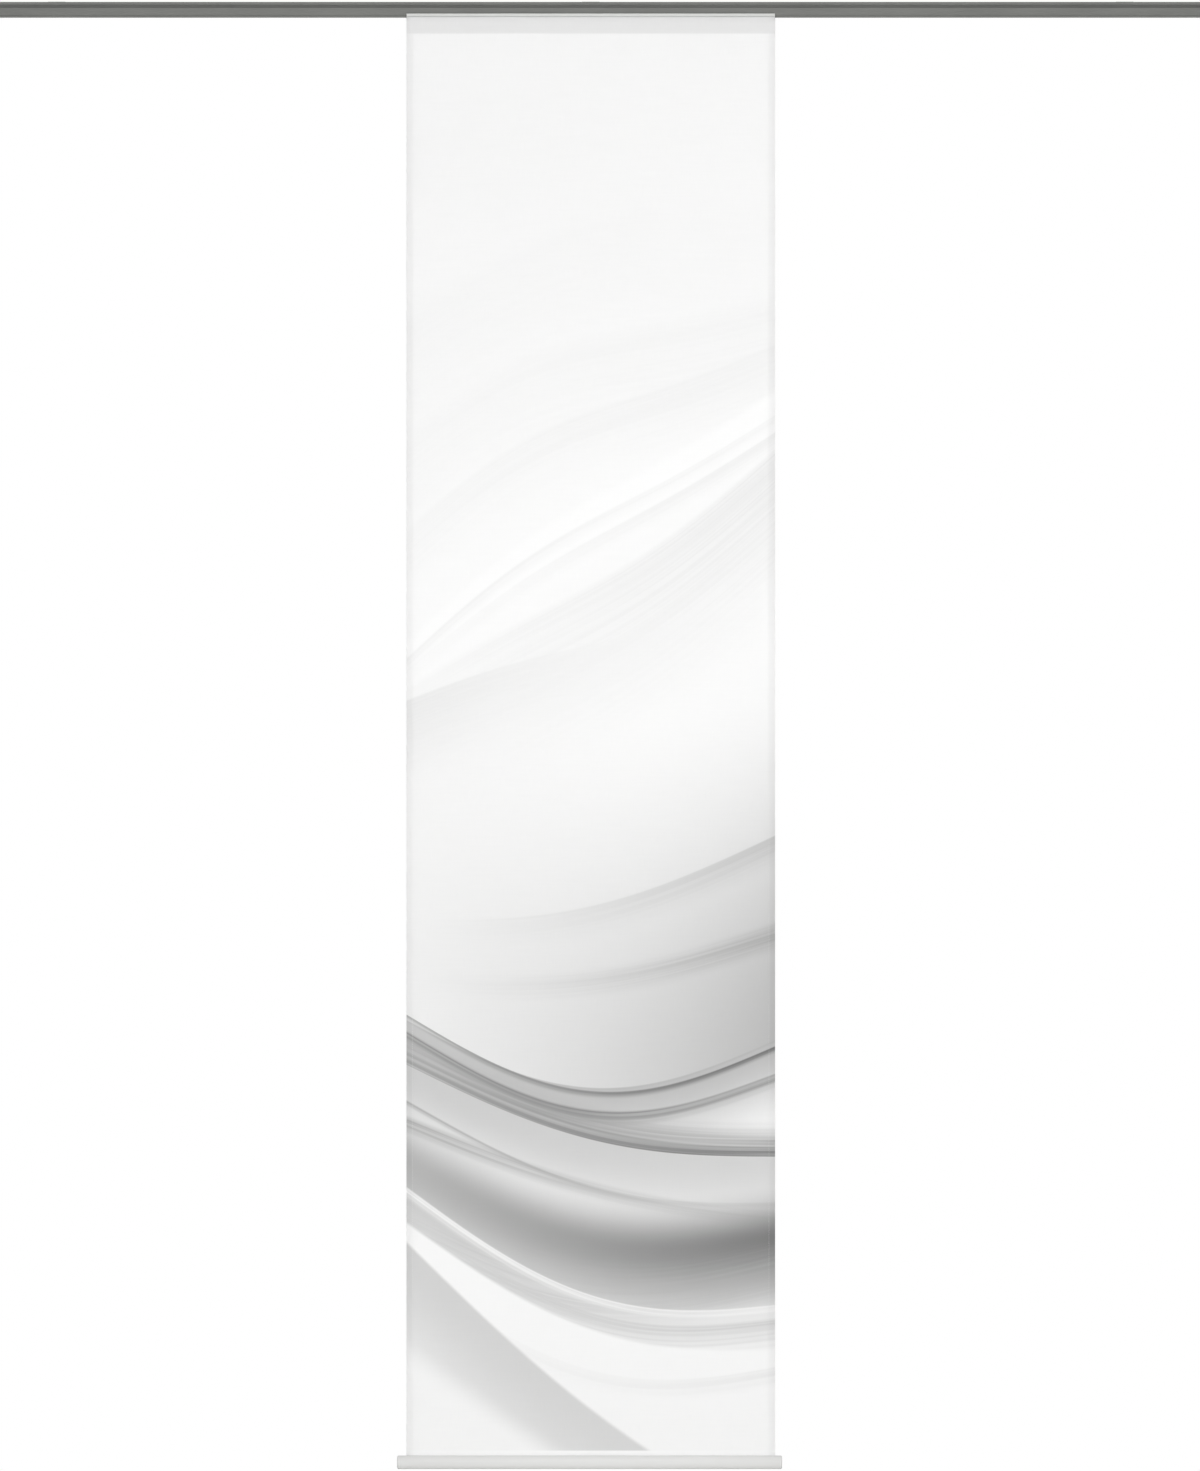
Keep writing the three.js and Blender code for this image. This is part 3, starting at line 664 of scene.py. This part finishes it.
def dressed(node, name, material, edge, sharper_than=28):
    """A finished copy of a CAD node: merged, its sharp edges broken, its round faces smooth."""
    bm = bmesh.new()
    bm.from_mesh(frame["nodes"][node].data)
    bmesh.ops.remove_doubles(bm, verts=bm.verts[:], dist=1e-6)
    bmesh.ops.dissolve_limit(
        bm, angle_limit=math.radians(0.5), verts=bm.verts[:], edges=bm.edges[:],
        use_dissolve_boundaries=False,
    )
    sharp = [
        e for e in bm.edges
        if len(e.link_faces) == 2 and e.calc_face_angle(0) > math.radians(sharper_than)
    ]
    bmesh.ops.bevel(
        bm, geom=sharp, offset=edge, offset_type="OFFSET", affect="EDGES", segments=2, profile=0.5,
        material=-1, clamp_overlap=True,
    )
    piece = finish_mesh(bm, name, material)
    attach(piece, frame["nodes"][node]["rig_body"])
    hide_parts(node)
    return piece


def repaint(node, material):
    """Gives a CAD node that stays as it is a better material."""
    data = frame["nodes"][node].data
    data.materials.clear()
    data.materials.append(material)


def settle(bm, ripple):
    """Lets cloth, and what is sewn to it, follow the slow ripples that a hanging panel has.

    They die out at the tape and at the bottom bar, which hold the cloth flat.
    """
    held_at_top = 60 * MM
    held_at_foot = 20 * MM
    growth = 0.2 * (CLOTH_HIGH.z - BAR_HIGH.z)
    narrow_wave = 230 * MM
    wide_wave = 410 * MM
    for vertex in bm.verts:
        x, z = vertex.co.x, vertex.co.z
        free = min(max((CLOTH_HIGH.z - z - held_at_top) / growth, 0), 1)
        free *= min(max((z - BAR_HIGH.z - held_at_foot) / growth, 0), 1)
        free = free * free * (3 - 2 * free)
        wave = 0.6 * math.sin(2 * math.pi * (x / narrow_wave + 0.35 * z))
        wave += 0.4 * math.sin(2 * math.pi * (x / wide_wave - 0.5 * z) + 1.3)
        vertex.co.y += ripple * free * wave


class CURTAIN_OT_camera(bpy.types.Operator):
    """Level camera with a long lens, framed as in the photograph"""

    bl_idname = "curtain.camera"
    bl_label = "Camera"

    def execute(self, context):
        view = context.scene.curtain.view
        data = bpy.data.cameras.new("photo_camera")
        data.sensor_width = SENSOR / MM
        data.lens = view.lens
        distance = view.frame_height * view.lens * MM / SENSOR
        data.clip_end = 4 * distance
        camera = bpy.data.objects.new("photo_camera", data)
        camera.location = (view.centre_x, CLOTH_LOW.y - distance, view.centre_z)
        camera.rotation_euler = (math.radians(90), 0, 0)
        context.scene.collection.objects.link(camera)
        context.scene.camera = camera
        return {"FINISHED"}


class CURTAIN_OT_stage(bpy.types.Operator):
    """Pale floor under the panel, white surroundings and soft lamps on both sides"""

    bl_idname = "curtain.stage"
    bl_label = "Stage"

    def execute(self, context):
        settings = context.scene.curtain.stage
        self.add_floor(settings)
        self.add_sky(settings)
        middle = (CLOTH_LOW + CLOTH_HIGH) / 2
        front = Vector((0.2, -settings.lamp_distance, middle.z - 0.3))
        back = Vector((-0.3, settings.lamp_distance, middle.z + 0.4))
        self.add_lamp("front_lamp", front, middle, settings.lamp_size, settings.front_light)
        self.add_lamp("back_lamp", back, middle, settings.lamp_size, settings.back_light)
        context.scene.view_settings.view_transform = "Standard"
        return {"FINISHED"}

    @staticmethod
    def add_floor(settings):
        bm = bmesh.new()
        bmesh.ops.create_circle(bm, cap_ends=True, segments=96, radius=settings.floor_radius)
        bmesh.ops.translate(bm, verts=bm.verts[:], vec=(0, 0, CAD_BOX[0].z - settings.floor_gap))
        material, tree, output = new_material("studio_floor")
        path = add_node(tree, "ShaderNodeLightPath")
        matt = add_node(tree, "ShaderNodeBsdfDiffuse", {"Color": (*settings.floor_colour, 1)})
        white = add_node(tree, "ShaderNodeEmission", {"Color": (1, 1, 1, 1), "Strength": 1.0})
        # The floor goes over to plain white away from the object, and keeps its shadow near it.
        # The patch that stays a floor is an oval, nearly twice as long along the rail as across it.
        oval = (0.55, 1, 0)
        patch_start = 0.05 * settings.floor_radius
        patch_end = 0.2 * settings.floor_radius
        place = add_node(tree, "ShaderNodeTexCoord").outputs["Object"]
        flat_place = add_node(tree, "ShaderNodeVectorMath", {0: place, 1: oval}, operation="MULTIPLY")
        reach = add_node(
            tree, "ShaderNodeVectorMath", {0: flat_place.outputs["Vector"]}, operation="LENGTH"
        )
        fade = add_node(
            tree, "ShaderNodeMapRange",
            {
                "Value": reach.outputs["Value"], "From Min": patch_start, "From Max": patch_end,
                "To Min": 0.4, "To Max": 1.0,
            },
            interpolation_type="SMOOTHSTEP",
        )
        share = add_node(
            tree, "ShaderNodeMath",
            {0: path.outputs["Is Camera Ray"], 1: fade.outputs["Result"]}, operation="MULTIPLY",
        )
        both = add_node(
            tree, "ShaderNodeMixShader",
            {0: share.outputs["Value"], 1: matt.outputs["BSDF"], 2: white.outputs["Emission"]},
        )
        tree.links.new(both.outputs["Shader"], output.inputs["Surface"])
        floor = finish_mesh(bm, "floor", material)

    @staticmethod
    def add_sky(settings):
        world = bpy.data.worlds.new("studio")
        world.use_nodes = True
        tree = world.node_tree
        tree.nodes.clear()
        path = add_node(tree, "ShaderNodeLightPath")
        seen = add_node(
            tree, "ShaderNodeMath",
            {0: path.outputs["Is Camera Ray"], 1: path.outputs["Is Glossy Ray"]}, operation="MAXIMUM",
        )
        seen = add_node(
            tree, "ShaderNodeMath",
            {0: seen.outputs["Value"], 1: path.outputs["Is Transmission Ray"]}, operation="MAXIMUM",
        )
        direction = add_node(tree, "ShaderNodeTexCoord").outputs["Generated"]
        height = add_node(tree, "ShaderNodeSeparateXYZ", {"Vector": direction}).outputs["Z"]
        low = settings.sky_light * (1 - settings.sky_lift)
        high = settings.sky_light * (1 + settings.sky_lift)
        light = add_node(
            tree, "ShaderNodeMapRange",
            {"Value": height, "From Min": -1.0, "To Min": low, "To Max": high},
        )
        level = add_node(
            tree, "ShaderNodeMapRange",
            {"Value": seen.outputs["Value"], "To Min": light.outputs["Result"], "To Max": 1.0},
        )
        sky = add_node(
            tree, "ShaderNodeBackground", {"Color": (1, 1, 1, 1), "Strength": level.outputs["Result"]}
        )
        output = add_node(tree, "ShaderNodeOutputWorld")
        tree.links.new(sky.outputs["Background"], output.inputs["Surface"])
        bpy.context.scene.world = world

    @staticmethod
    def add_lamp(name, place, target, size, power):
        data = bpy.data.lights.new(name, "AREA")
        data.shape = "SQUARE"
        data.size = size
        data.energy = power
        lamp = bpy.data.objects.new(name, data)
        lamp.location = place
        lamp.rotation_euler = (target - place).to_track_quat("-Z", "Y").to_euler()
        # Metal and plastic mirror the white room and not the lamp, so a colour shows as it is written.
        lamp.visible_glossy = False
        bpy.context.scene.collection.objects.link(lamp)


class CURTAIN_OT_cloth(bpy.types.Operator):
    """Printed cloth with mitred hems and a sleeve round the rod in the bottom bar"""

    bl_idname = "curtain.cloth"
    bl_label = "Cloth"

    def execute(self, context):
        settings = context.scene.curtain.cloth
        bm = self.folded_cloth(settings)
        settle(bm, settings.ripple)
        face = printed_voile("printed_voile_face", settings, True)
        back = printed_voile("printed_voile_back", settings, False)
        cloth = finish_mesh(bm, "printed_cloth", face, smooth_under=60)
        cloth.data.materials.append(back)
        solid = cloth.modifiers.new("thickness", "SOLIDIFY")
        solid.thickness = settings.thickness
        solid.offset = 0
        solid.material_offset = 1
        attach(cloth, "panel")
        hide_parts("fabric_panel")
        stitches = self.stitches(settings, context.scene.curtain.finish)
        return {"FINISHED"}

    @staticmethod
    def sleeve_radius(settings):
        return (CLOTH_HIGH.y - CLOTH_LOW.y) / 2 - settings.layer_gap / 2

    def folded_cloth(self, settings):
        """One surface through the middle of the cloth: the front, then each hem folded behind it."""
        middle = KEDER_CENTRE.y
        fold = settings.layer_gap / 2
        half = CLOTH_HIGH.x - fold
        top = CLOTH_HIGH.z - fold
        hem_top = BAR_HIGH.z
        cell = 10 * MM
        columns = round(2 * half / cell)
        rows = round((top - hem_top) / cell)
        bm = bmesh.new()
        place = (
            Matrix.Translation((0, middle - fold, (top + hem_top) / 2))
            @ Matrix.Rotation(math.radians(90), 4, "X")
            @ Matrix.Diagonal((2 * half, top - hem_top, 1, 1))
        )
        bmesh.ops.create_grid(bm, x_segments=columns, y_segments=rows, size=0.5, matrix=place)

        def edges_where(test):
            return [e for e in bm.edges if e.is_boundary and all(test(v.co) for v in e.verts)]

        def near(value, target):
            return abs(value - target) < 1e-5

        def fold_over(edges, centre, axis, angle, steps, move):
            turned = bmesh.ops.spin(
                bm, geom=edges, cent=centre, axis=axis, dvec=(0, 0, 0), angle=angle, steps=steps
            )
            rim = [e for e in turned["geom_last"] if isinstance(e, bmesh.types.BMEdge)]
            flap = bmesh.ops.extrude_edge_only(bm, edges=rim)["geom"]
            moved = [v for v in flap if isinstance(v, bmesh.types.BMVert)]
            bmesh.ops.translate(bm, verts=moved, vec=move)
            return [f for f in flap if isinstance(f, bmesh.types.BMFace)]

        left = edges_where(lambda co: near(co.x, -half))
        right = edges_where(lambda co: near(co.x, half))
        upper = edges_where(lambda co: near(co.z, top))
        lower = edges_where(lambda co: near(co.z, hem_top))
        fold_steps = 4
        mitre = Vector((settings.side_hem, 0, settings.top_hem))
        for side, edges in ((-1, left), (1, right)):
            flap = fold_over(
                edges, (side * half, middle, 0), (0, 0, 1), side * math.pi, fold_steps,
                (-side * (settings.side_hem - fold), 0, 0),
            )
            outwards = Vector((-side * mitre.z, 0, mitre.x))
            self.trim(bm, flap, (side * CLOTH_HIGH.x, 0, CLOTH_HIGH.z), outwards)
        flap = fold_over(
            upper, (0, middle, top), (1, 0, 0), -math.pi, fold_steps, (0, 0, fold - settings.top_hem)
        )
        for side in (-1, 1):
            inwards = Vector((side * mitre.z, 0, -mitre.x))
            flap = self.trim(bm, flap, (side * CLOTH_HIGH.x, 0, CLOTH_HIGH.z), inwards)

        radius = self.sleeve_radius(settings)
        neck = math.sqrt(radius**2 - fold**2)
        neck_angle = math.asin(fold / radius)
        down = bmesh.ops.extrude_edge_only(bm, edges=lower)["geom"]
        bmesh.ops.translate(
            bm, verts=[v for v in down if isinstance(v, bmesh.types.BMVert)],
            vec=(0, 0, KEDER_CENTRE.z + neck - hem_top),
        )
        rim = [e for e in down if isinstance(e, bmesh.types.BMEdge)]
        rim = [e for e in rim if all(near(v.co.z, KEDER_CENTRE.z + neck) for v in e.verts)]
        turn = 2 * math.pi - 2 * neck_angle
        sleeve_steps = 28
        back_up = (0, 0, hem_top - KEDER_CENTRE.z - neck)
        fold_over(rim, KEDER_CENTRE, (1, 0, 0), turn, sleeve_steps, back_up)
        bmesh.ops.recalc_face_normals(bm, faces=bm.faces[:])
        return bm

    @staticmethod
    def trim(bm, faces, point, outwards):
        """Cuts a hem flap along the mitre from the cloth's corner and drops what lies beyond."""
        faces = [f for f in faces if f.is_valid]
        geometry = set(faces)
        for face in faces:
            geometry.update(face.edges)
            geometry.update(face.verts)
        cut = bmesh.ops.bisect_plane(
            bm, geom=list(geometry), dist=1e-7, plane_co=point, plane_no=outwards, clear_outer=True
        )
        return [f for f in cut["geom"] if isinstance(f, bmesh.types.BMFace) and f.is_valid]

    @staticmethod
    def stitches(settings, finish):
        """Rows of lockstitches along every hem, on both faces of the cloth."""
        one = bmesh.new()
        long, thick = settings.stitch_length, settings.thread
        for face_y in (-1, 1):
            reach = settings.layer_gap / 2 + settings.thickness / 2
            bmesh.ops.create_uvsphere(
                one, u_segments=6, v_segments=5, radius=0.5,
                matrix=Matrix.Translation((0, face_y * reach, 0))
                @ Matrix.Diagonal((thick, thick * 0.7, long, 1)),
            )
        stitch = bpy.data.meshes.new("one_stitch")
        one.to_mesh(stitch)
        one.free()
        inset = settings.stitch_inset
        edge_x = CLOTH_HIGH.x - settings.side_hem + inset
        top_z = CLOTH_HIGH.z - settings.top_hem + inset
        foot_z = BAR_HIGH.z - inset
        rows = [
            (Vector((-edge_x, 0, foot_z)), Vector((-edge_x, 0, top_z))),
            (Vector((edge_x, 0, foot_z)), Vector((edge_x, 0, top_z))),
            (Vector((-edge_x, 0, top_z)), Vector((edge_x, 0, top_z))),
            (Vector((CLOTH_LOW.x + inset, 0, foot_z)), Vector((CLOTH_HIGH.x - inset, 0, foot_z))),
        ]
        bm = bmesh.new()
        for start, end in rows:
            run = end - start
            count = int(run.length / settings.stitch_pitch)
            turn = Vector((0, 0, 1)).rotation_difference(run.normalized()).to_matrix().to_4x4()
            for i in range(count):
                centre = start + run * ((i + 0.5) / count)
                centre.y = KEDER_CENTRE.y
                copy = stitch.copy()
                copy.transform(Matrix.Translation(centre) @ turn)
                bm.from_mesh(copy)
                bpy.data.meshes.remove(copy)
        bpy.data.meshes.remove(stitch)
        settle(bm, settings.ripple)
        thread = sewing_thread("spun_polyester_thread", finish.thread_white)
        rows_of_thread = finish_mesh(bm, "hem_stitches", thread, smooth_under=80)
        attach(rows_of_thread, "panel")
        return rows_of_thread


class CURTAIN_OT_rail(bpy.types.Operator):
    """Rail, its end caps, ceiling clips and end stops"""

    bl_idname = "curtain.rail"
    bl_label = "Rail"

    def execute(self, context):
        finish = context.scene.curtain.finish
        aluminium = anodised_aluminium("anodised_aluminium", finish.rail_grey)
        moulding = moulded_polymer("moulded_polyamide", finish.moulding_grey, 0.55, 0.5 * MM)
        spring = rolled_steel("rolled_spring_steel", finish.spring_steel, 0.35)
        zinc = rolled_steel("zinc_plated_steel", finish.zinc_steel, 0.4)
        cap_edge = 0.2 * MM
        stop_edge = 0.3 * MM
        clip_edge = 0.12 * MM
        dressed("rail_profile", "rail_extrusion", aluminium, finish.edge_break)
        for side in ("left", "right"):
            dressed(f"rail_end_cap_{side}", f"end_cap_{side}", moulding, cap_edge)
            dressed(f"end_stop_{side}", f"track_stop_{side}", moulding, stop_edge)
            repaint(f"stop_screw_{side}", zinc)
        for place in ("left", "centre", "right"):
            dressed(f"ceiling_clip_{place}", f"spring_clip_{place}", spring, clip_edge)
        return {"FINISHED"}


class CURTAIN_OT_carrier(bpy.types.Operator):
    """Carrier with its caps, gliders and tapes"""

    bl_idname = "curtain.carrier"
    bl_label = "Carrier"

    glider_count: IntProperty(
        name="Gliders", description="How many gliders carry the panel", default=4, min=1, max=4
    )

    def execute(self, context):
        finish = context.scene.curtain.finish
        extruded = extruded_pvc("extruded_carrier_pvc", finish.carrier_white, 0.45)
        acetal = moulded_polymer("moulded_acetal", finish.glider_white, 0.35, 0.4 * MM)
        glider_edge = 0.25 * MM
        hook_pitch = 1.2 * MM
        loop_pitch = 0.8 * MM
        dressed("carrier_profile", "carrier_extrusion", extruded, finish.edge_break)
        for side in ("left", "right"):
            dressed(f"carrier_cap_{side}", f"carrier_end_{side}", extruded, finish.edge_break)
        for number in range(1, self.glider_count + 1):
            dressed(f"glider_{number}", f"acetal_glider_{number}", acetal, glider_edge)
        repaint("hook_tape", pile_tape("woven_hook_tape", finish.tape_white, hook_pitch))
        repaint("loop_tape", pile_tape("woven_loop_tape", finish.tape_white, loop_pitch))
        return {"FINISHED"}


class CURTAIN_OT_bottom_bar(bpy.types.Operator):
    """Bottom bar with its caps, keder rod and weight strip"""

    bl_idname = "curtain.bottom_bar"
    bl_label = "Bottom bar"

    def execute(self, context):
        finish = context.scene.curtain.finish
        extruded = extruded_pvc("extruded_bar_pvc", finish.bar_white, 0.38)
        dressed("bottom_bar", "bar_extrusion", extruded, finish.edge_break)
        for side in ("left", "right"):
            dressed(f"bottom_bar_cap_{side}", f"bar_end_{side}", extruded, finish.edge_break)
        repaint("keder_rod", extruded_pvc("extruded_keder_pvc", finish.glider_white, 0.4))
        repaint("weight_strip", rolled_steel("rolled_strip_steel", finish.zinc_steel, 0.45))
        return {"FINISHED"}


class CURTAIN_PT_panel(bpy.types.Panel):
    """Lists the pieces of the curtain"""

    bl_idname = "CURTAIN_PT_panel"
    bl_label = "Sliding panel curtain"
    bl_space_type = "VIEW_3D"
    bl_region_type = "UI"
    bl_category = "Curtain"

    def draw(self, context):
        layout = self.layout
        for operator in OPERATORS:
            layout.operator(operator.bl_idname)
        for name in ("view", "stage", "cloth", "finish"):
            group = getattr(context.scene.curtain, name)
            box = layout.box()
            box.label(text=name.capitalize())
            for key in group.bl_rna.properties.keys():
                if key not in ("rna_type", "name"):
                    box.prop(group, key)


SETTINGS = (
    CurtainViewSettings,
    CurtainStageSettings,
    CurtainClothSettings,
    CurtainFinishSettings,
    CurtainSettings,
)
OPERATORS = (
    CURTAIN_OT_camera,
    CURTAIN_OT_stage,
    CURTAIN_OT_rail,
    CURTAIN_OT_carrier,
    CURTAIN_OT_cloth,
    CURTAIN_OT_bottom_bar,
)
CLASSES = SETTINGS + OPERATORS + (CURTAIN_PT_panel,)


def register():
    for cls in CLASSES:
        bpy.utils.register_class(cls)
    bpy.types.Scene.curtain = PointerProperty(type=CurtainSettings)


def unregister():
    del bpy.types.Scene.curtain
    for cls in reversed(CLASSES):
        bpy.utils.unregister_class(cls)


def main():
    register()
    bpy.ops.curtain.camera()
    bpy.ops.curtain.stage()
    bpy.ops.curtain.rail()
    bpy.ops.curtain.carrier()
    bpy.ops.curtain.cloth()
    bpy.ops.curtain.bottom_bar()


if __name__ == "__main__":
    main()
